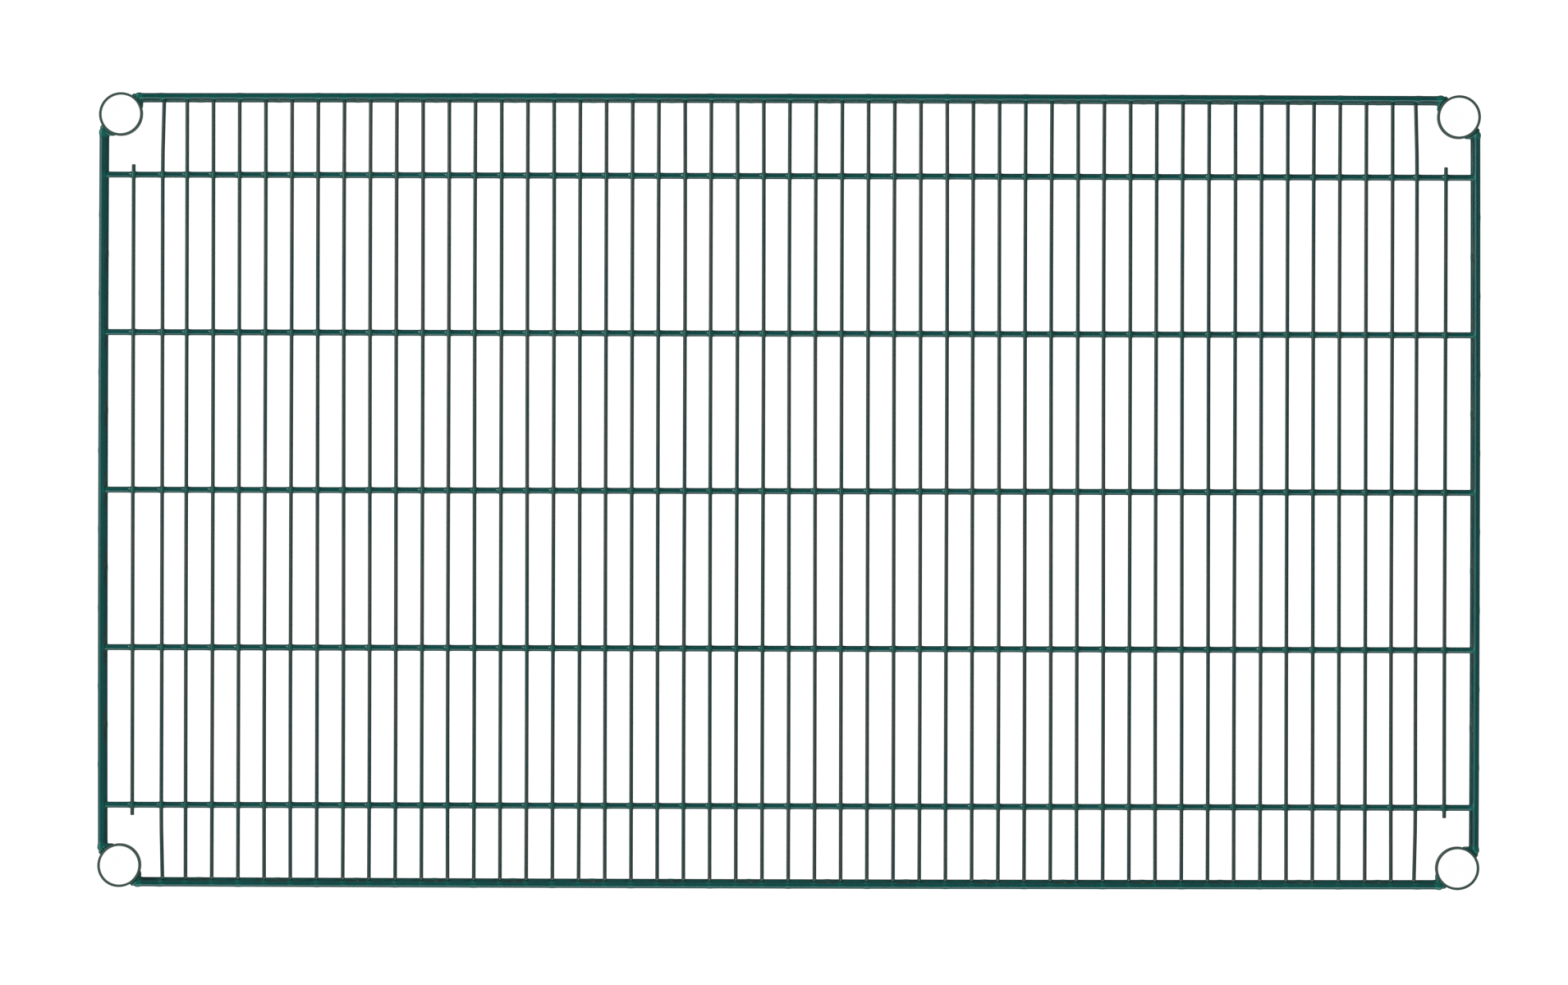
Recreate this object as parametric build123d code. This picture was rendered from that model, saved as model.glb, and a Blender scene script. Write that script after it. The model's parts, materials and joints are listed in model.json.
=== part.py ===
from build123d import *
import os
from math import asin, atan2, cos, hypot, sqrt, tan

# Wire shelf for adjustable post shelving. Four collars slide down over the posts. Truss edges
# of round rod join the collars, five support rods run the long way between the end trusses,
# and close deck wires lie across the support rods.
# Millimetres. Origin: middle of the footprint, on the plane the collars stand on.
# +X runs the long way, +Y to the rear, +Z up.

# Overall size, over the collars
shelf_length = 1059.6
shelf_depth = 609.6

# Post collars: straight bore at the rim, opening slightly towards the foot
collar_diameter = 33.4
collar_height = 36.0
bore_diameter = 29.6
bore_land = 14.0
bore_foot_diameter = 30.8
rim_round = 0.5

# Truss edges: a top rod, a bottom rod set in a little from it, and a snake wire bent to and fro
# between them
truss_rod_diameter = 4.9
rim_above_rods = 1.5
truss_drop = 25.0
truss_lean = 2.2
rod_end_inset = 11.0
snake_bend_radius = 6.0
snake_end_tail = 7.0
snake_crests_long_side = 17
snake_crests_short_side = 8
wires_per_snake_crest = 3

# Deck wires, bent down behind the long top rods, and the short wire across each end
wire_diameter = 2.9
wire_pitch = 20.09
evenly_spaced_wires = 47
outer_wire_offset = 480.8
wire_bend_radius = 3.0
wire_tail_foot = 26.2
end_wire_offset = 503.0
end_wire_overhang = 8.0

# Support rods
support_rod_diameter = 4.7
support_rod_spacing = 120.8
support_rod_count = 5
support_rod_reach = 525.6
support_rod_notch_length = 18.0

# Places worked out from the dimensions above
collar_radius = collar_diameter / 2
truss_rod_radius = truss_rod_diameter / 2
wire_radius = wire_diameter / 2
collar_x = shelf_length / 2 - collar_radius
collar_y = shelf_depth / 2 - collar_radius
top_rod_height = collar_height - rim_above_rods - truss_rod_radius
bottom_rod_height = top_rod_height - truss_drop
top_rod_out = collar_radius - truss_rod_radius
bottom_rod_out = top_rod_out - truss_lean
deck_wire_height = collar_height - rim_above_rods - wire_radius
support_rod_height = deck_wire_height - wire_radius - support_rod_diameter / 2
snake_pitch = wires_per_snake_crest * wire_pitch

# Each edge is modelled along X with its outer side to +Y, then turned about Z into place:
# turn in degrees, half the distance between its collars, distance of its collars from the middle,
# and how many times its snake wire reaches the top rod
edges = {
    "rear": (0, collar_x, collar_y, snake_crests_long_side),
    "left": (90, collar_y, collar_x, snake_crests_short_side),
    "front": (180, collar_x, collar_y, snake_crests_long_side),
    "right": (270, collar_y, collar_x, snake_crests_short_side),
}


def post_collar(x, y):
    # Half section of the ring, turned about the post's axis
    foot_bore = bore_foot_diameter / 2
    land_bore = bore_diameter / 2
    land_foot = collar_height - bore_land
    section = Polyline(
        (foot_bore, 0),
        (collar_radius, 0),
        (collar_radius, collar_height),
        (land_bore, collar_height),
        (land_bore, land_foot),
        close=True,
    )
    face = make_face(Plane.XZ * section)
    rim_corners = face.vertices().sort_by(Axis.Z)[-2:]
    face = fillet(rim_corners, rim_round)
    return Pos(x, y, 0) * revolve(face, Axis.Z)


def truss_rod(half_span, collar_line, out, height):
    # Straight rod whose two ends are hollowed to sit against the walls of the collars
    length = 2 * (half_span - rod_end_inset)
    rod = Pos(0, collar_line + out, height) * Rot(0, 90, 0) * Cylinder(truss_rod_radius, length)
    for side in (-1, 1):
        collar_wall = Cylinder(collar_radius, collar_height)
        rod -= Pos(side * half_span, collar_line, collar_height / 2) * collar_wall
    return rod


def snake_wire(collar_line, crests):
    # Zigzag of straight legs and round bends, in the leaning plane through both rods' axes.
    # Its bends touch the underside of the top rod and the top of the bottom rod.
    axis_distance = hypot(truss_drop, truss_lean)
    reach = axis_distance / 2 - truss_rod_radius - wire_radius
    half_pitch = snake_pitch / 2
    rise = 2 * (reach - snake_bend_radius)
    # Slope of the leg that touches one bend on its outside and the next on its inside
    slope = atan2(rise, half_pitch) + asin(2 * snake_bend_radius / hypot(rise, half_pitch))
    corner = reach - snake_bend_radius + snake_bend_radius / cos(slope)
    corner_to_tail = (corner - reach) / tan(slope)

    last_crest = (crests - 1) / 2 * snake_pitch
    points = [(-last_crest - snake_end_tail, reach), (-last_crest + corner_to_tail, reach)]
    for turn in range(1, 2 * crests - 2):
        along = -last_crest + turn * half_pitch
        height = corner if turn % 2 == 0 else -corner
        points.append((along, height))
    points.append((last_crest - corner_to_tail, reach))
    points.append((last_crest + snake_end_tail, reach))

    middle = Vector(0, collar_line + (top_rod_out + bottom_rod_out) / 2, top_rod_height - truss_drop / 2)
    upwards = Vector(0, truss_lean, truss_drop).normalized()
    truss_plane = Plane(middle, x_dir=(1, 0, 0), z_dir=Vector(1, 0, 0).cross(upwards))
    path = truss_plane * FilletPolyline(*points, radius=snake_bend_radius)
    section = Plane(path @ 0, z_dir=path % 0) * Circle(wire_radius)
    return sweep(section, path=path)


def deck_wire(x):
    # Straight across the shelf, with both ends bent down so that each bend touches the inner
    # side of a long top rod
    bend_height = deck_wire_height - wire_bend_radius
    centre_distance = wire_bend_radius + wire_radius + truss_rod_radius
    bend_inset = sqrt(centre_distance**2 - (top_rod_height - bend_height) ** 2)
    tail_y = collar_y + top_rod_out - bend_inset + wire_bend_radius
    path = Plane.YZ.offset(x) * FilletPolyline(
        (-tail_y, wire_tail_foot),
        (-tail_y, deck_wire_height),
        (tail_y, deck_wire_height),
        (tail_y, wire_tail_foot),
        radius=wire_bend_radius,
    )
    section = Plane(path @ 0, z_dir=path % 0) * Circle(wire_radius)
    return sweep(section, path=path)


def end_wire(x):
    # Short straight wire over the ends of the support rods
    outer_rod_y = (support_rod_count - 1) / 2 * support_rod_spacing
    length = 2 * (outer_rod_y + end_wire_overhang)
    return Pos(x, 0, deck_wire_height) * Rot(90, 0, 0) * Cylinder(wire_radius, length)


def support_rod(y):
    # Straight rod under the deck wires, notched at both ends to fit under the end top rods
    rod = Rot(0, 90, 0) * Cylinder(support_rod_diameter / 2, 2 * support_rod_reach)
    rod = Pos(0, y, support_rod_height) * rod
    for side in (-1, 1):
        notch = Rot(90, 0, 0) * Cylinder(truss_rod_radius, support_rod_notch_length)
        rod -= Pos(side * (collar_x + top_rod_out), y, top_rod_height) * notch
    return rod


def deck_wire_offsets():
    # From the left outer wire to the right outer wire
    middle_index = (evenly_spaced_wires - 1) // 2
    offsets = [(index - middle_index) * wire_pitch for index in range(evenly_spaced_wires)]
    return [-outer_wire_offset] + offsets + [outer_wire_offset]


def build_shelf():
    # Every node's name and its list of separate solids
    nodes = {}
    for end, x in (("left", -collar_x), ("right", collar_x)):
        for side, y in (("front", -collar_y), ("rear", collar_y)):
            nodes[f"{side}_{end}_collar"] = [post_collar(x, y)]

    for name, (turn, half_span, collar_line, crests) in edges.items():
        into_place = Rot(0, 0, turn)
        top_rod = truss_rod(half_span, collar_line, top_rod_out, top_rod_height)
        bottom_rod = truss_rod(half_span, collar_line, bottom_rod_out, bottom_rod_height)
        nodes[f"{name}_top_rod"] = [into_place * top_rod]
        nodes[f"{name}_bottom_rod"] = [into_place * bottom_rod]
        nodes[f"{name}_snake_wire"] = [into_place * snake_wire(collar_line, crests)]

    for index in range(support_rod_count):
        y = (index - (support_rod_count - 1) / 2) * support_rod_spacing
        nodes[f"support_rod_{index + 1}"] = [support_rod(y)]

    # The deck wires go in neighbouring pairs, counted from the left, with the middle one alone
    offsets = deck_wire_offsets()
    middle = len(offsets) // 2
    first_of_pairs = list(range(0, middle, 2)) + list(range(middle + 1, len(offsets), 2))
    for number, first in enumerate(first_of_pairs, start=1):
        pair = [deck_wire(offsets[first]), deck_wire(offsets[first + 1])]
        nodes[f"deck_wires_{number:02d}"] = pair
    nodes["deck_wire_middle"] = [deck_wire(offsets[middle])]

    nodes["end_wire_left"] = [end_wire(-end_wire_offset)]
    nodes["end_wire_right"] = [end_wire(end_wire_offset)]
    return nodes


os.makedirs("parts", exist_ok=True)
for node_name, solids in build_shelf().items():
    shape = solids[0] if len(solids) == 1 else Compound(children=solids)
    export_step(shape, f"parts/{node_name}.step")
    print(node_name, "solids:", len(shape.solids()), "volume:", round(shape.volume, 1))
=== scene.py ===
import json
import math

import bpy
import numpy as np
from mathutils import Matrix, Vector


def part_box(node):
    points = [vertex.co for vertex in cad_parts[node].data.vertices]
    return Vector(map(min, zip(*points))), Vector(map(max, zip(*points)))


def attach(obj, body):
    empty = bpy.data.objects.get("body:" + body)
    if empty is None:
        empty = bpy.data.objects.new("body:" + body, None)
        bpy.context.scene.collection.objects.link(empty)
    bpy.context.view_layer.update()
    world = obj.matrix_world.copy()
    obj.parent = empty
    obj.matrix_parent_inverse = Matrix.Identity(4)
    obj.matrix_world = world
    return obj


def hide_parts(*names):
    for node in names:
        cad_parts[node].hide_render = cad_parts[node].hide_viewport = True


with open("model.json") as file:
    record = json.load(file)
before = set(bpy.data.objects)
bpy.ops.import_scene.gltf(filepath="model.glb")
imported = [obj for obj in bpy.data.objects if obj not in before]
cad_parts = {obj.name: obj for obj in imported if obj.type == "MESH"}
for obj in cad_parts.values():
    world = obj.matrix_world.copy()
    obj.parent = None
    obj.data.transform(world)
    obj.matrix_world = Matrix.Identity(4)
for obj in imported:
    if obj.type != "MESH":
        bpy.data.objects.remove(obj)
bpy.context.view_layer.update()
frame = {"nodes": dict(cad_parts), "record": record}
mm = 0.001
body = "root"            # nothing moves: every piece rides on the one body
print("frame loaded, nodes:", len(frame["nodes"]))


# Places and thicknesses, all read from the frame

def middleOf(node):
    low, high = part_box(node)
    return (low + high) / 2


def spanOf(node, axis):
    low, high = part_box(node)
    return high[axis] - low[axis]


topRodHeight = middleOf("rear_top_rod").z
bottomRodHeight = middleOf("rear_bottom_rod").z
longTopLine = middleOf("rear_top_rod").y
longBottomLine = middleOf("rear_bottom_rod").y
sideTopLine = middleOf("right_top_rod").x
sideBottomLine = middleOf("right_bottom_rod").x
collarMiddle = middleOf("rear_right_collar")
collarRadius = spanOf("rear_right_collar", 0) / 2
wireRadius = spanOf("deck_wire_middle", 0) / 2
trussRadius = spanOf("rear_top_rod", 2) / 2
supportRadius = spanOf("support_rod_3", 1) / 2
collarNames = sorted(name for name in frame["nodes"] if name.endswith("_collar"))
supportRodNames = sorted(name for name in frame["nodes"] if name.startswith("support_rod"))
supportRodLines = [middleOf(name).y for name in supportRodNames]
deckNodeNames = sorted(name for name in frame["nodes"] if name.startswith("deck_wire"))
endWireNames = ("end_wire_left", "end_wire_right")


# Shader graphs

class Signal:
    # A socket that can be used in sums; each sum adds one Math node to the socket's graph
    def __init__(self, graph, socket):
        self.graph = graph
        self.socket = socket

    def math(self, operation, first, second):
        return self.graph.add("ShaderNodeMath", {"operation": operation}, {0: first, 1: second})

    def __add__(self, other):
        return self.math("ADD", self, other)

    def __radd__(self, other):
        return self.math("ADD", other, self)

    def __sub__(self, other):
        return self.math("SUBTRACT", self, other)

    def __rsub__(self, other):
        return self.math("SUBTRACT", other, self)

    def __mul__(self, other):
        return self.math("MULTIPLY", self, other)

    def __rmul__(self, other):
        return self.math("MULTIPLY", other, self)


class Graph:
    # One node tree, and the one method that puts nodes into it
    def __init__(self, tree):
        self.tree = tree
        self.tree.nodes.clear()

    def add(self, kind, settings, inputs, output=0):
        node = self.tree.nodes.new(kind)
        for key, value in settings.items():
            setattr(node, key, value)
        for key, value in inputs.items():
            if isinstance(value, Signal):
                self.tree.links.new(value.socket, node.inputs[key])
            else:
                node.inputs[key].default_value = value
        return Signal(self, node.outputs[output]) if node.outputs else node

    def noise(self, place, pattern):
        inputs = {"Vector": place, "Scale": pattern["scale"], "Detail": pattern["detail"],
                  "Roughness": pattern["roughness"]}
        return self.add("ShaderNodeTexNoise", {}, inputs)

    def spread(self, signal, low, high, toLow=0.0, toHigh=1.0):
        # Straight-line rescaling of low..high, held inside the new range
        values = {0: signal, 1: low, 2: high, 3: toLow, 4: toHigh}
        return self.add("ShaderNodeMapRange", {"clamp": True}, values)

    def mix(self, share, first, second):
        # Sockets 0, 6 and 7 are the share and the two colours of a colour Mix
        return self.add("ShaderNodeMix", {"data_type": "RGBA"}, {0: share, 6: first, 7: second}, 2)


# Epoxy coat over steel: two broad greens that drift into each other, cloudy mottling a few
# millimetres wide, a fine orange peel, and a fuller, smoother, greener coat on the welds.
# The coats differ in colour and gloss, and share the grain below them.
coats = {
    "frameCoat": {
        "roughness": 0.22, "peel": 0.035,
        "deep": (0.0002, 0.056, 0.051, 1), "light": (0.001, 0.072, 0.066, 1),
        "weld": (0.002, 0.105, 0.082, 1),
    },
    "deckCoat": {
        "roughness": 0.27, "peel": 0.025,
        "deep": (0.010, 0.044, 0.040, 1), "light": (0.036, 0.050, 0.046, 1),
        "weld": (0.001, 0.085, 0.066, 1),
    },
    "collarCoat": {
        "roughness": 0.20, "peel": 0.05,
        "deep": (0.034, 0.070, 0.062, 1), "light": (0.052, 0.080, 0.071, 1),
        "weld": (0.002, 0.105, 0.082, 1),
    },
}
grain = {
    "drift": {"scale": 14.0, "detail": 3.0, "roughness": 0.5, "low": 0.36, "high": 0.64, "share": 0.86},
    "mottle": {"scale": 320.0, "detail": 4.0, "roughness": 0.6, "low": 0.3, "high": 0.7, "share": 0.14},
    "peel": {"scale": 1500.0, "detail": 2.0, "roughness": 0.45, "share": 0.6},
    "runs": {"scale": 240.0, "detail": 2.0, "roughness": 0.5, "share": 0.4},
    "depth": 0.3 * mm, "mottledGloss": 0.10, "weldGloss": 0.12, "ior": 1.38,
}


def epoxyCoat(name):
    # Colour: deep to light by the shares of drift and mottle, then to the weld colour by the weld
    # attribute. Roughness: the coat's own, a little up and down with the mottle, less on welds.
    values = coats[name]
    material = bpy.data.materials.new(name)
    material.use_nodes = True
    graph = Graph(material.node_tree)
    place = graph.add("ShaderNodeTexCoord", {}, {}, "Object")
    weld = graph.add("ShaderNodeAttribute", {"attribute_name": "weld"}, {}, "Fac")

    broad, cloudy = grain["drift"], grain["mottle"]
    drift = graph.spread(graph.noise(place, broad), broad["low"], broad["high"])
    mottle = graph.spread(graph.noise(place, cloudy), cloudy["low"], cloudy["high"])
    lightShare = drift * broad["share"] + mottle * cloudy["share"]
    colour = graph.mix(weld, graph.mix(lightShare, values["deep"], values["light"]), values["weld"])

    peel = graph.noise(place, grain["peel"])
    runs = graph.noise(place, grain["runs"])
    normal = graph.add("ShaderNodeBump", {}, {
        "Strength": values["peel"], "Distance": grain["depth"],
        "Height": peel * grain["peel"]["share"] + runs * grain["runs"]["share"],
    })
    rough = values["roughness"] + (mottle - 0.5) * grain["mottledGloss"] - weld * grain["weldGloss"]

    shader = graph.add("ShaderNodeBsdfPrincipled", {}, {
        "Base Color": colour, "Roughness": rough, "Normal": normal, "IOR": grain["ior"],
    })
    graph.add("ShaderNodeOutputMaterial", {}, {"Surface": shader})
    return material


materials = {name: epoxyCoat(name) for name in coats}
print("coats mixed:", len(materials))


# Surfaces. A part of a piece is (points, quads, triangles, weld share of each point).

def makePiece(name, parts, coat, nodes=()):
    mesh = bpy.data.meshes.new(name)
    starts = np.cumsum([0] + [len(part[0]) for part in parts])
    points = np.concatenate([part[0] for part in parts])
    quads = np.concatenate([part[1] + start for part, start in zip(parts, starts)])
    triangles = np.concatenate([part[2] + start for part, start in zip(parts, starts)])
    welds = np.concatenate([part[3] for part in parts])
    mesh.from_pydata(points.tolist(), [], quads.tolist() + triangles.tolist())
    mesh.attributes.new("weld", "FLOAT", "POINT").data.foreach_set("value", welds.astype(np.float32))
    mesh.polygons.foreach_set("use_smooth", np.ones(len(mesh.polygons), bool))
    mesh.materials.append(materials[coat])
    mesh.update()
    piece = bpy.data.objects.new(name, mesh)
    bpy.context.scene.collection.objects.link(piece)
    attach(piece, body)
    if nodes:
        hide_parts(*nodes)


def gridFaces(rows, columns):
    # Quads of a grid whose columns close on themselves, facing out for rings that turn
    # anticlockwise about the direction the rows advance in
    row, column = np.meshgrid(np.arange(rows - 1), np.arange(columns), indexing="ij")
    here = row * columns + column
    beside = row * columns + (column + 1) % columns
    return np.stack([here, beside, beside + columns, here + columns], -1).reshape(-1, 4)


def poleFaces(rows, columns):
    # Triangle fans from the last two points, the poles, to the first and the last ring
    column = np.arange(columns)
    beside = (column + 1) % columns
    last = (rows - 1) * columns
    firstPole = np.full(columns, rows * columns)
    start = np.stack([firstPole, beside, column], -1)
    end = np.stack([firstPole + 1, last + column, last + beside], -1)
    return np.concatenate([start, end])


# A bar is a round wire or rod. Its rings lie close where it bends, ends or carries a weld. Up and
# down are the angles round a level bar that face the shelf's top and underside; on a tail that is
# bent down, up faces out of the shelf.
bar = {
    "arcSteps": 14, "spotSteps": 5, "spotReach": 2.2, "closest": 0.12 * mm, "capSteps": 5, "endRound": 0.35,
}
up, down = 0.0, math.pi


def straight(start, end):
    # A path with two points: points, unit directions and the distance run at each point
    start = np.asarray(start, float)
    end = np.asarray(end, float)
    length = np.linalg.norm(end - start)
    direction = (end - start) / length
    return np.array([start, end]), np.array([direction, direction]), np.array([0, length])


def roundedPath(corners, radius):
    # Straight runs between corners in one plane, each inner corner swapped for a tangent arc:
    # centre - radius * (inward cos t - along sin t), with t from minus to plus half the turn.
    # Returns points, unit directions and the distance run at each point.
    corners = np.asarray(corners, float)
    points = [corners[0]]
    directions = [corners[1] - corners[0]]
    for before, corner, after in zip(corners[:-2], corners[1:-1], corners[2:]):
        incoming = (corner - before) / np.linalg.norm(corner - before)
        outgoing = (after - corner) / np.linalg.norm(after - corner)
        turn = math.acos(np.clip(incoming @ outgoing, -1, 1))
        inward = (outgoing - incoming) / np.linalg.norm(outgoing - incoming)
        along = (incoming + outgoing) / np.linalg.norm(incoming + outgoing)
        centre = corner + inward * radius / math.cos(turn / 2)
        sweep = np.linspace(-turn / 2, turn / 2, bar["arcSteps"])[:, None]
        points.extend(centre - radius * (inward * np.cos(sweep) - along * np.sin(sweep)))
        directions.extend(along * np.cos(sweep) + inward * np.sin(sweep))
    points.append(corners[-1])
    directions.append(corners[-1] - corners[-2])
    points = np.array(points)
    directions = np.array(directions)
    directions /= np.linalg.norm(directions, axis=1)[:, None]
    run = np.concatenate([[0], np.cumsum(np.linalg.norm(np.diff(points, axis=0), axis=1))])
    return points, directions, run


def swellings(places, angle, height, width):
    # One weld swelling at each place along a bar, fullest on the side that the angle faces
    return [{"at": at, "angle": angle, "height": height, "width": width} for at in places]


def stationsAlong(run, spots, spacing):
    # Even stations along the path, its own bend points, and a cluster about each weld swelling
    length = run[-1]
    even = np.linspace(0, length, max(2, int(length / spacing)))
    steps = np.linspace(-bar["spotReach"], bar["spotReach"], 2 * bar["spotSteps"] + 1)
    clusters = [spot["at"] + steps * spot["width"] for spot in spots]
    stations = np.concatenate([even, run] + clusters)
    stations = np.unique(np.clip(stations, 0, length).round(6))
    stations = stations[np.concatenate([[True], np.diff(stations) > bar["closest"]])]
    stations[-1] = length
    return stations


def tube(path, side, radius, spots, sides, spacing, shift=None, endRound=bar["endRound"], tintPower=0.5):
    # A round bar along a path. Ring: centre + radius * (upward cos a + side sin a), where upward
    # is side x direction. A swelling's nearness is exp(-(distance / width)^2) and its facing is
    # ((1 + cos(a - angle)) / 2)^2. It adds height * nearness * facing to the radius, and
    # nearness * facing ^ tintPower to the share of weld colour. Both ends are rounded off by
    # endRound of the radius and closed by a pole.
    points, directions, run = path
    stations = stationsAlong(run, spots, spacing)
    length = run[-1]
    roundOff = endRound * radius
    caps = np.linspace(0, 1, bar["capSteps"]) * roundOff
    between = stations[(stations > roundOff) & (stations < length - roundOff)]
    stations = np.unique(np.concatenate([between, caps, length - caps]))
    centre = np.stack([np.interp(stations, run, points[:, axis]) for axis in range(3)], -1)
    forward = np.stack([np.interp(stations, run, directions[:, axis]) for axis in range(3)], -1)
    if shift is not None:
        centre = centre + shift(centre)
    forward /= np.linalg.norm(forward, axis=1)[:, None]
    side = np.asarray(side, float)
    upward = np.cross(side, forward)
    angle = np.arange(sides) / sides * 2 * math.pi
    toEnd = np.minimum(stations, length - stations)
    short = np.clip(1 - toEnd / roundOff, 0, 1)
    rounded = radius - roundOff * (1 - np.sqrt(1 - short ** 2))
    radii = np.repeat(rounded[:, None], sides, 1)
    weld = np.zeros_like(radii)
    if spots:
        at, width, height, facing = (np.array([spot[key] for spot in spots])
                                     for key in ("at", "width", "height", "angle"))
        near = np.exp(-((stations[:, None] - at) / width) ** 2)
        toward = ((1 + np.cos(angle[:, None] - facing)) / 2) ** 2
        radii += np.einsum("sk,ak,k->sa", near, toward, height)
        weld = np.clip(np.einsum("sk,ak->sa", near, toward ** tintPower), 0, 1)
    ring = upward[:, None] * np.cos(angle)[:, None] + side * np.sin(angle)[:, None]
    surface = centre[:, None] + radii[..., None] * ring
    rows = len(stations)
    points = np.concatenate([surface.reshape(-1, 3), centre[:1], centre[-1:]])
    welds = np.concatenate([weld.ravel(), weld[0].mean(keepdims=True), weld[-1].mean(keepdims=True)])
    return points, gridFaces(rows, sides), poleFaces(rows, sides), welds


# Edge rods are a little hollowed towards their ends: the shift inwards grows with the square of
# the distance from the middle
edgeBow = {"long": 0.6 * mm, "side": 0.5 * mm}


def longEdgeShift(x):
    return -edgeBow["long"] * (x / collarMiddle.x) ** 2


def sideEdgeShift(y):
    return -edgeBow["side"] * (y / collarMiddle.y) ** 2


# Collars: a half section turned about the post's axis. The section runs up the outer wall, over
# the rounded rim, down the straight bore and the opening below it, and round the foot. Its walls
# stop short of the rounded corners by the given number of roundings.
collar = {
    "rimRound": 0.35 * mm, "footRound": 0.3 * mm, "footBore": 15.4 * mm, "turns": 112,
    "wallSteps": 8, "boreSteps": 4, "taperSteps": 5, "cornerSteps": 6, "wallGap": 1.5, "boreGap": 2,
    "outOfRound": 0.10 * mm, "rimWave": 0.06 * mm, "firstSeed": 40,
}


def quarter(across, height, radius, start):
    # A quarter circle about (across, height), ending at the angle start
    sweep = math.radians(start) + np.linspace(0, -math.pi / 2, collar["cornerSteps"])
    return np.stack([across + radius * np.cos(sweep), height + radius * np.sin(sweep)], -1)[::-1]


def collarSurface(name, seed):
    # Point: section radius + outOfRound * cos(2 t + phase), and section height + rimWave *
    # cos(3 t + phase) * (height share)^2, at the angle t about the axis
    low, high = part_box(name)
    mount = next(m for m in frame["record"]["mounts"] if m["name"] == name.replace("collar", "post_bore"))
    boreRadius = mount["dims"]["r_mm"] * mm
    boreFoot = mount["pos_m"][2] - mount["dims"]["length_mm"] * mm / 2
    outer = (high.x - low.x) / 2
    rim, foot = collar["rimRound"], collar["footRound"]
    wallTop = high.z - rim * collar["wallGap"]
    boreTop = high.z - rim * collar["boreGap"]
    wall = np.linspace(rim + foot, wallTop, collar["wallSteps"])
    bore = np.linspace(boreTop, boreFoot, collar["boreSteps"])
    taper = np.stack([np.linspace(boreRadius, collar["footBore"], collar["taperSteps"]),
                      np.linspace(boreFoot, foot * collar["wallGap"], collar["taperSteps"])], -1)
    section = np.concatenate([
        np.stack([np.full(len(wall), outer), wall], -1),
        quarter(outer - rim, high.z - rim, rim, 90),
        quarter(boreRadius + rim, high.z - rim, rim, 180),
        np.stack([np.full(len(bore), boreRadius), bore], -1),
        taper[1:],
        quarter(collar["footBore"] + foot, foot, foot, 270),
        quarter(outer - foot, foot, foot, 0),
    ])
    random = np.random.default_rng(seed)
    turn = np.arange(collar["turns"]) / collar["turns"] * 2 * math.pi
    phase = random.uniform(0, 2 * math.pi, 2)
    across, height = section[:, :1], section[:, 1:]
    radius = across + collar["outOfRound"] * np.cos(2 * turn + phase[0])
    level = height + collar["rimWave"] * np.cos(3 * turn + phase[1]) * (height / high.z) ** 2
    middle = (low + high) / 2
    points = np.stack([middle.x + radius * np.cos(turn), middle.y + radius * np.sin(turn), level], -1)
    faces = gridFaces(len(section), collar["turns"])
    first, last = faces[:collar["turns"]], faces[-collar["turns"]:]
    closing = np.stack([last[:, 3], last[:, 2], first[:, 1], first[:, 0]], -1)
    welds = np.zeros(len(section) * collar["turns"])
    return points.reshape(-1, 3), np.concatenate([faces, closing]), np.zeros((0, 3), int), welds


for number, name in enumerate(collarNames):
    makePiece(name + "_ring", [collarSurface(name, collar["firstSeed"] + number)], "collarCoat", [name])
print("collars made:", len(collarNames))


# Deck wires: bent down behind the long top rods, each with a slight bow of its own. The outermost
# pair lean in at their ends. Their coat stands a little proud of the frame's wire.
deckWire = {
    "radius": wireRadius + 0.07 * mm, "bend": 3.0 * mm, "bow": 0.22 * mm, "sides": 14, "spacing": 40 * mm,
    "endLean": 1.1 * mm, "leanFrom": 0.8, "weldHeight": 1.15 * mm, "weldWidth": 2.1 * mm,
    "endWeldHeight": 0.55 * mm, "endWeldWidth": 1.6 * mm, "endWeldStep": 1.2 * mm, "tintPower": 0.0,
    "firstSeed": 9000,
}
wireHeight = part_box("deck_wire_middle")[1].z - deckWire["radius"]
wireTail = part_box("deck_wire_middle")[0].z
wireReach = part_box("deck_wire_middle")[1].y - deckWire["radius"]


def wireOffsets(node):
    # A node holds one wire, or two neighbours
    low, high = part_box(node)
    if high.x - low.x < 3 * wireRadius:
        return [(low.x + high.x) / 2]
    return [low.x + wireRadius, high.x - wireRadius]


deckOffsets = sorted(x for node in deckNodeNames for x in wireOffsets(node))
endWireOffsets = [middleOf(node).x for node in endWireNames]


def bowedWire(x, outermost):
    # Shift across a wire at the share s of its reach: first * (1 - s^2) + second * 2 s (1 - s^2).
    # An outermost wire also leans in with the square of the way past leanFrom.
    random = np.random.default_rng(int(round(x * 10000)) + deckWire["firstSeed"])
    first, second = random.uniform(-1, 1, 2) * deckWire["bow"]

    def shift(centre):
        share = centre[:, 1] / wireReach
        bow = first * (1 - share ** 2) + second * share * (1 - share ** 2) * 2
        if outermost:
            lean = np.clip((abs(share) - deckWire["leanFrom"]) / (1 - deckWire["leanFrom"]), 0, 1)
            bow = bow - math.copysign(deckWire["endLean"], x) * lean ** 2
        return np.stack([bow, np.zeros_like(bow), np.zeros_like(bow)], -1)
    return shift


def wireSurface(x, path, spots, outermost):
    return tube(path, (1, 0, 0), deckWire["radius"], spots, deckWire["sides"], deckWire["spacing"],
                bowedWire(x, outermost), tintPower=deckWire["tintPower"])


def supportSwellings(middle):
    # Where a wire lies on the support rods, with its middle at this distance along it
    places = [middle + y for y in supportRodLines]
    return swellings(places, down, deckWire["weldHeight"], deckWire["weldWidth"])


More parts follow.
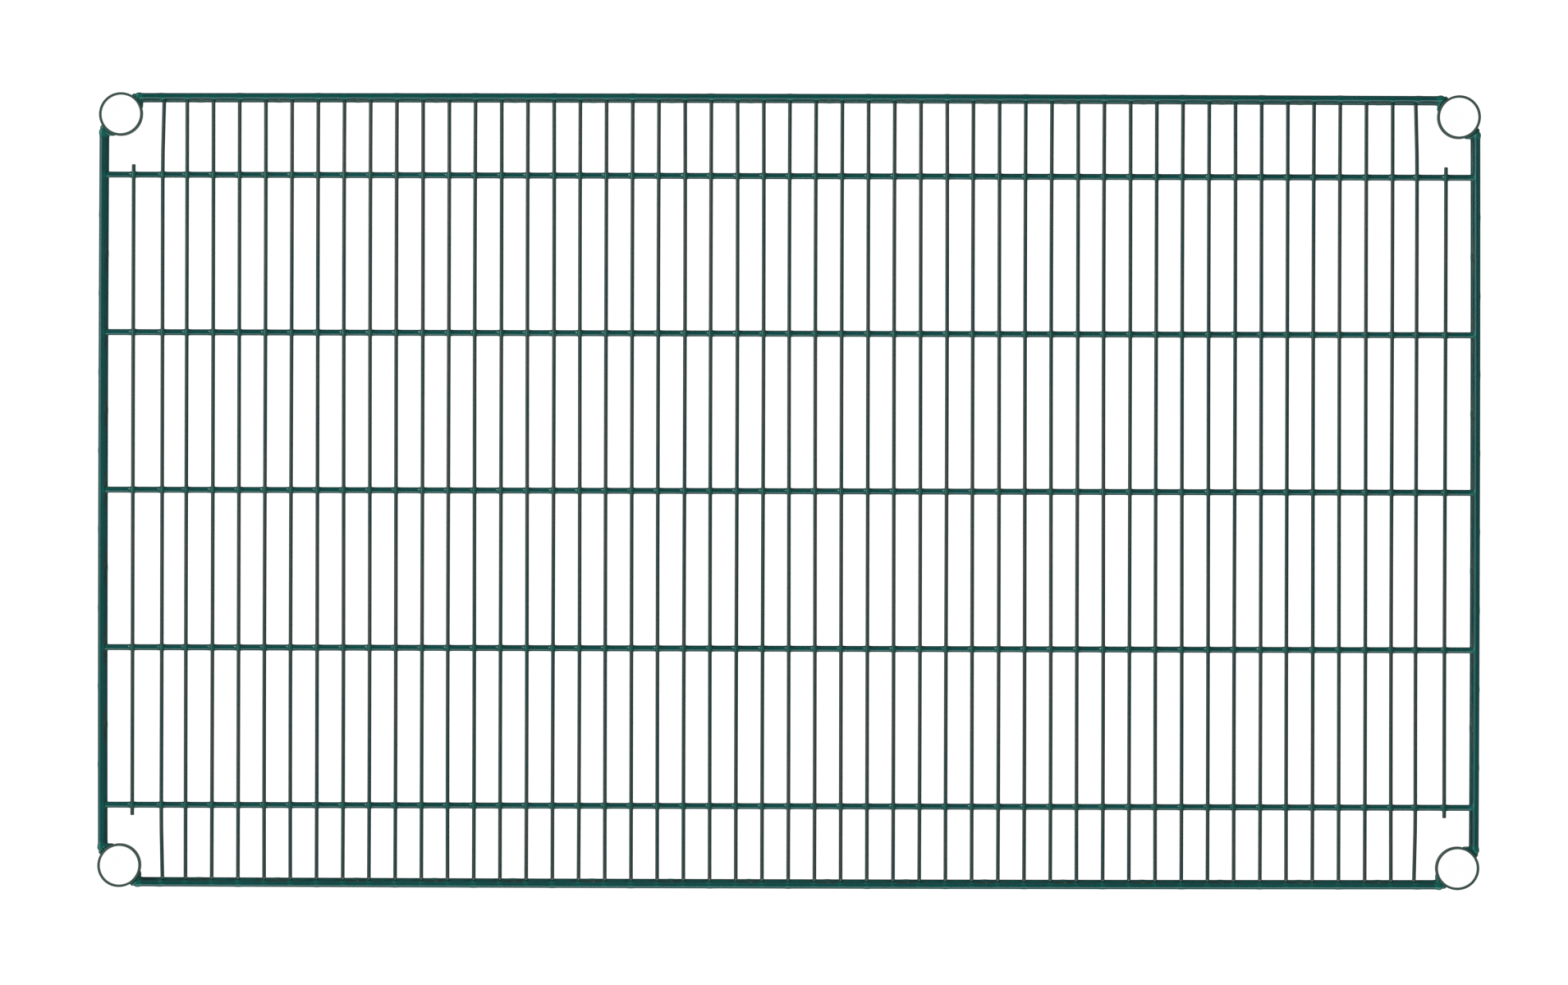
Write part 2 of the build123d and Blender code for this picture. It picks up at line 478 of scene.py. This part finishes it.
def deckWireSurface(x):
    reach = wireReach + longEdgeShift(x)
    path = roundedPath([(x, -reach, wireTail), (x, -reach, wireHeight),
                        (x, reach, wireHeight), (x, reach, wireTail)], deckWire["bend"])
    length = path[2][-1]
    endWeld = wireHeight - wireTail - deckWire["bend"] / 2 - deckWire["endWeldStep"]
    bothEnds = (endWeld, length - endWeld)
    spots = supportSwellings(length / 2)
    spots += swellings(bothEnds, up, deckWire["endWeldHeight"], deckWire["endWeldWidth"])
    return wireSurface(x, path, spots, abs(x) > deckOffsets[-1] - wireRadius)


def endWireSurface(node):
    low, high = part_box(node)
    x = (low.x + high.x) / 2
    path = straight((x, low.y, wireHeight), (x, high.y, wireHeight))
    return wireSurface(x, path, supportSwellings(-low.y), False)


for node in deckNodeNames:
    makePiece(node + "_coated", [deckWireSurface(x) for x in wireOffsets(node)], "deckCoat", [node])
for node in endWireNames:
    makePiece(node + "_coated", [endWireSurface(node)], "deckCoat", [node])
print("deck wires bent:", len(deckOffsets) + len(endWireNames))


# Support rods, swollen upwards where each deck wire is welded on
supportRod = {
    "radius": supportRadius, "sides": 20, "spacing": 40 * mm, "weldHeight": 1.15 * mm, "weldWidth": 2.3 * mm,
    "endWeldHeight": 0.7 * mm, "endWeldWidth": 2.4 * mm, "endWeldStep": 0.8 * mm,
}


def supportRodSurface(node):
    low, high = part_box(node)
    y = ((low + high) / 2).y
    z = high.z - supportRod["radius"]
    reach = high.x + sideEdgeShift(y)
    crossings = [x + reach for x in deckOffsets + endWireOffsets]
    bothEnds = (supportRod["endWeldStep"], 2 * reach - supportRod["endWeldStep"])
    spots = swellings(crossings, up, supportRod["weldHeight"], supportRod["weldWidth"])
    spots += swellings(bothEnds, up, supportRod["endWeldHeight"], supportRod["endWeldWidth"])
    path = straight((-reach, y, z), (reach, y, z))
    return tube(path, (0, -1, 0), supportRod["radius"], spots, supportRod["sides"], supportRod["spacing"])


for node in supportRodNames:
    makePiece(node + "_coated", [supportRodSurface(node)], "frameCoat", [node])
print("support rods laid:", len(supportRodNames))


# Truss edges: two rods and the snake wire between them. Each edge is worked out along X with its
# outer side to +Y, then turned about Z. Facing is 1 where the turned edge runs the same way as
# the shelf's own axis, and -1 where it runs against it. End lumps are (step from the rod's end,
# angle round the rod).
truss = {
    "radius": trussRadius, "sides": 24, "spacing": 30 * mm, "endRound": 0.8,
    "wireRadius": wireRadius, "wireSides": 12, "wireSpacing": 12 * mm,
    "bend": 6.0 * mm, "tail": 7.0 * mm, "wiresPerCrest": 3,
    "snakeWeldHeight": 0.7 * mm, "snakeWeldWidth": 2.2 * mm, "wireWeldWidth": 2.0 * mm,
    "deckWeldAngle": 105, "deckWeldHeight": 0.75 * mm, "deckWeldWidth": 1.7 * mm,
    "supportWeldAngle": 130, "supportWeldHeight": 0.9 * mm, "supportWeldWidth": 2.6 * mm,
    "endLumps": ((1.6 * mm, up), (4.6 * mm, math.pi / 3), (3.4 * mm, -math.pi / 3)),
    "endWeldHeight": 0.5 * mm, "endWeldWidth": 1.7 * mm,
}
longEdge = {"line": longTopLine, "foot": longBottomLine, "crests": 17, "shift": longEdgeShift,
            "welded": deckOffsets, "weldKind": "deckWeld"}
sideEdge = {"line": sideTopLine, "foot": sideBottomLine, "crests": 8, "shift": sideEdgeShift,
            "welded": supportRodLines, "weldKind": "supportWeld"}
edges = {
    "rear": {"turn": 0, "facing": 1, **longEdge},
    "left": {"turn": 90, "facing": 1, **sideEdge},
    "front": {"turn": 180, "facing": -1, **longEdge},
    "right": {"turn": 270, "facing": -1, **sideEdge},
}
# The outermost deck wires are off the even pitch, so the pitch is taken between the next ones in
wirePitch = (deckOffsets[-2] - deckOffsets[1]) / (len(deckOffsets) - 3)
snakePitch = truss["wiresPerCrest"] * wirePitch


def turned(part, degrees):
    points, quads, triangles, weld = part
    angle = math.radians(degrees)
    cosine, sine = math.cos(angle), math.sin(angle)
    spin = np.array([[cosine, sine, 0], [-sine, cosine, 0], [0, 0, 1]])
    return points @ spin, quads, triangles, weld


def snakeCorners(edge, lean, drop):
    # Corner points of the zigzag in the plane through the two rods, as (along, up the plane). The
    # slope and the corners are such that each bend's arc just touches a rod.
    reach = math.hypot(lean, drop) / 2 - truss["radius"] - truss["wireRadius"]
    bend = truss["bend"]
    rise = 2 * (reach - bend)
    half = snakePitch / 2
    slope = math.atan2(rise, half) + math.asin(2 * bend / math.hypot(rise, half))
    corner = reach - bend + bend / math.cos(slope)
    toTail = (corner - reach) / math.tan(slope)
    last = (edge["crests"] - 1) / 2 * snakePitch
    corners = [(-last - truss["tail"], reach), (-last + toTail, reach)]
    corners += [(-last + turn * half, corner if turn % 2 == 0 else -corner)
                for turn in range(1, 2 * edge["crests"] - 2)]
    corners += [(last - toTail, reach), (last + truss["tail"], reach)]
    return np.array(corners)


def trussPieces(name, edge):
    def shift(centre):
        out = edge["shift"](centre[:, 0])
        return np.stack([np.zeros_like(out), out, np.zeros_like(out)], -1)

    last = (edge["crests"] - 1) / 2 * snakePitch
    crests = -last + snakePitch * np.arange(edge["crests"])
    troughs = crests[:-1] + snakePitch / 2
    halfRod = max(spanOf(name + "_top_rod", 0), spanOf(name + "_top_rod", 1)) / 2
    snakeWeld = (truss["snakeWeldHeight"], truss["snakeWeldWidth"])
    kind = edge["weldKind"]

    topSpots = swellings(crests + halfRod, down, *snakeWeld)
    crossings = [edge["facing"] * place + halfRod for place in edge["welded"]]
    topSpots += swellings(crossings, math.radians(truss[kind + "Angle"]), truss[kind + "Height"],
                          truss[kind + "Width"])
    bottomSpots = swellings(troughs + halfRod, up, *snakeWeld)
    endSpots = []
    for step, angle in truss["endLumps"]:
        bothEnds = (step, 2 * halfRod - step)
        endSpots += swellings(bothEnds, angle, truss["endWeldHeight"], truss["endWeldWidth"])

    for level, spots, out, height in (("_top_rod", topSpots, edge["line"], topRodHeight),
                                      ("_bottom_rod", bottomSpots, edge["foot"], bottomRodHeight)):
        path = straight((-halfRod, out, height), (halfRod, out, height))
        rod = tube(path, (0, -1, 0), truss["radius"], spots + endSpots, truss["sides"], truss["spacing"],
                   shift, endRound=truss["endRound"])
        makePiece(name + level + "_coated", [turned(rod, edge["turn"])], "frameCoat", [name + level])

    lean = edge["line"] - edge["foot"]
    drop = topRodHeight - bottomRodHeight
    corners = snakeCorners(edge, lean, drop)
    upPlane = np.array([0, lean, drop]) / math.hypot(lean, drop)
    middle = np.array([0, (edge["line"] + edge["foot"]) / 2, (topRodHeight + bottomRodHeight) / 2])
    corners = middle + corners[:, :1] * np.array([1, 0, 0]) + corners[:, 1:] * upPlane
    path = roundedPath(corners, truss["bend"])
    wireWeld = (truss["snakeWeldHeight"], truss["wireWeldWidth"])
    wireSpots = swellings(np.interp(crests, path[0][:, 0], path[2]), up, *wireWeld)
    wireSpots += swellings(np.interp(troughs, path[0][:, 0], path[2]), down, *wireWeld)
    snake = tube(path, np.cross((1, 0, 0), upPlane), truss["wireRadius"], wireSpots, truss["wireSides"],
                 truss["wireSpacing"], shift)
    makePiece(name + "_snake_wire_coated", [turned(snake, edge["turn"])], "deckCoat", [name + "_snake_wire"])


for name, edge in edges.items():
    trussPieces(name, edge)
print("truss edges bent:", len(edges))


# Weld beads that tie the rods' ends to the collars. A bead follows the collar's outer wall, full
# at the rod's end and drawn out thin towards the rod's inner side. Turns are degrees round the
# collar from the rod's own direction.
bead = {
    "outerTurn": 60, "innerTurn": 15, "width": 2.2 * mm, "height": 2.7 * mm, "sink": 0.42,
    "leadPower": 0.6, "fullPower": 0.7, "rows": 26, "columns": 16, "weldTint": 0.6,
    "lumps": 6, "lumpHeight": 0.22, "lumpLength": 0.1, "lumpsFrom": 0.1, "lumpsTo": 0.8,
    "alongSeed": 700, "acrossSeed": 750, "seedStep": 10,
}


def weldBead(centre, along, outward, seed):
    # Section: an ellipse across the wall whose half width and half height are the bead's own times
    # sin(pi * s ^ leadPower) ^ fullPower at the share s of the way. Each lump swells it by
    # lift * exp(-((s - place) / length)^2) * ((1 + cos(a - angle)) / 2)^2.
    random = np.random.default_rng(seed)
    share = np.linspace(0, 1, bead["rows"] + 2)[1:-1]
    full = np.sin(math.pi * share ** bead["leadPower"]) ** bead["fullPower"]
    around = np.arange(bead["columns"]) / bead["columns"] * 2 * math.pi
    lumpShare = random.uniform(bead["lumpsFrom"], bead["lumpsTo"], bead["lumps"])
    lumpAngle = random.uniform(-math.pi / 2, math.pi / 2, bead["lumps"])
    lift = random.uniform(-1, 1, bead["lumps"]) * bead["lumpHeight"]
    near = np.exp(-((share[:, None] - lumpShare) / bead["lumpLength"]) ** 2)
    toward = ((1 + np.cos(around[:, None] - lumpAngle)) / 2) ** 2
    swell = 1 + np.einsum("sk,ak,k->sa", near, toward, lift)

    def radial(share):
        turn = np.radians(bead["outerTurn"] + (bead["innerTurn"] - bead["outerTurn"]) * share)
        return np.cos(turn)[:, None] * along + np.sin(turn)[:, None] * outward

    wall = collarRadius + bead["sink"] * bead["width"] * full
    out = (wall[:, None] + swell * bead["width"] * full[:, None] * np.cos(around))[..., None]
    rise = (swell * bead["height"] * full[:, None] * np.sin(around))[..., None]
    points = centre + out * radial(share)[:, None] + rise * np.array([0, 0, 1])
    ends = centre + collarRadius * radial(np.array([0.0, 1.0]))
    points = np.concatenate([points.reshape(-1, 3), ends])
    quads = gridFaces(bead["rows"], bead["columns"])
    triangles = poleFaces(bead["rows"], bead["columns"])
    if np.cross(along, outward)[2] < 0:      # a mirrored corner turns the faces inside out
        quads, triangles = quads[:, ::-1], triangles[:, ::-1]
    return points, quads, triangles, np.full(len(points), bead["weldTint"])


def cornerBeads(name, number):
    middle = middleOf(name)
    toX = np.array([-math.copysign(1, middle.x), 0, 0])
    toY = np.array([0, -math.copysign(1, middle.y), 0])
    parts = []
    for level, height in enumerate((topRodHeight, bottomRodHeight)):
        centre = np.array([middle.x, middle.y, height])
        seed = number * bead["seedStep"] + level
        parts.append(weldBead(centre, toX, -toY, bead["alongSeed"] + seed))
        parts.append(weldBead(centre, toY, -toX, bead["acrossSeed"] + seed))
    return parts


for number, name in enumerate(collarNames):
    makePiece(name.replace("collar", "collar_welds"), cornerBeads(name, number), "frameCoat")
print("weld beads laid:", len(collarNames))


# Floor. It glows white through a thin diffusing top, so shadows on it stay faint. Its glow isn't
# thrown back onto the shelf, which keeps the rods' edges dark.
stage = {"floorSize": 80.0, "floorTone": 0.12, "floorGlow": 0.99}


def glowingFloor():
    half = stage["floorSize"] / 2
    mesh = bpy.data.meshes.new("floor")
    mesh.from_pydata([(-half, -half, 0), (half, -half, 0), (half, half, 0), (-half, half, 0)], [],
                     [(0, 1, 2, 3)])
    paint = bpy.data.materials.new("floorPaint")
    paint.use_nodes = True
    graph = Graph(paint.node_tree)
    tone = stage["floorTone"]
    top = graph.add("ShaderNodeBsdfDiffuse", {}, {"Color": (tone, tone, tone, 1)})
    glow = graph.add("ShaderNodeEmission", {}, {"Color": (1, 1, 1, 1), "Strength": stage["floorGlow"]})
    shader = graph.add("ShaderNodeAddShader", {}, {0: top, 1: glow})
    graph.add("ShaderNodeOutputMaterial", {}, {"Surface": shader})
    mesh.materials.append(paint)
    floor = bpy.data.objects.new("floor", mesh)
    floor.visible_glossy = False
    floor.visible_diffuse = False
    bpy.context.scene.collection.objects.link(floor)
    return floor


floor = glowingFloor()
print("floor laid")


# Sky: a bright band about the horizon, dark straight above and below the floor, and brighter
# towards the front and the left than behind. Heights are the z of a direction, sides its dot
# product with brightSide.
sky = {
    "strength": 1.35, "zenith": 0.08, "underfoot": 0.22, "behind": 0.42, "brightSide": (-0.5, -0.86, 0),
    "dimFrom": 0.60, "dimTo": 0.86, "horizon": 0.1, "sideFrom": -0.35, "sideTo": 0.45,
}


def studioSky():
    world = bpy.data.worlds.new("studioSky")
    bpy.context.scene.world = world
    world.use_nodes = True
    graph = Graph(world.node_tree)
    direction = graph.add("ShaderNodeTexCoord", {}, {}, "Generated")
    dot = {"operation": "DOT_PRODUCT"}
    height = graph.add("ShaderNodeVectorMath", dot, {0: direction, 1: (0, 0, 1)}, "Value")
    side = graph.add("ShaderNodeVectorMath", dot, {0: direction, 1: sky["brightSide"]}, "Value")
    above = graph.spread(height, sky["dimFrom"], sky["dimTo"], 1, sky["zenith"])
    below = graph.spread(height, -sky["horizon"], sky["horizon"], sky["underfoot"], 1)
    toSide = graph.spread(side, sky["sideFrom"], sky["sideTo"], sky["behind"], 1)
    strength = above * below * toSide * sky["strength"]
    shader = graph.add("ShaderNodeBackground", {}, {"Color": (1, 1, 1, 1), "Strength": strength})
    graph.add("ShaderNodeOutputWorld", {}, {"Surface": shader})


studioSky()
print("sky lit")

# Lamps, all aimed at the shelf's middle. The key lamp stands on a diagonal, so that straight rods
# never mirror it and only welds, bends and rims glint.
lamps = {
    "frontBox": {"place": (0.4, -3.4, 2.2), "size": (4.0, 1.4), "watts": 75},
    "leftBox": {"place": (-3.4, 0.6, 2.4), "size": (1.2, 3.0), "watts": 40},
    "keyLamp": {"place": (-2.3, 2.5, 3.0), "size": (0.7, 0.7), "watts": 75},
}
for name, values in lamps.items():
    light = bpy.data.lights.new(name, "AREA")
    light.shape = "RECTANGLE"
    light.size, light.size_y = values["size"]
    light.energy = values["watts"]
    lamp = bpy.data.objects.new(name, light)
    lamp.location = values["place"]
    lamp.rotation_mode = "QUATERNION"
    lamp.rotation_quaternion = (-lamp.location).to_track_quat("-Z", "Y")
    lamp.visible_camera = False
    bpy.context.scene.collection.objects.link(lamp)
print("lamps hung:", len(lamps))

# The camera looks straight down from far off. Field width is that of the deck's plane.
view = {
    "distance": 30.0, "fieldWidth": 1.2022, "aim": (-0.0039, -0.0010), "roll": 0.0024,
    "sensor": 36.0, "clipEnd": 100.0,
}
camera = bpy.data.objects.new("camera", bpy.data.cameras.new("camera"))
camera.data.sensor_width = view["sensor"]
camera.data.lens = view["sensor"] * (view["distance"] - topRodHeight) / view["fieldWidth"]
camera.data.clip_end = view["clipEnd"]
camera.location = (*view["aim"], view["distance"])
camera.rotation_euler = (0, 0, view["roll"])
bpy.context.scene.collection.objects.link(camera)
bpy.context.scene.camera = camera
bpy.context.scene.view_settings.view_transform = "Standard"
print("camera set")
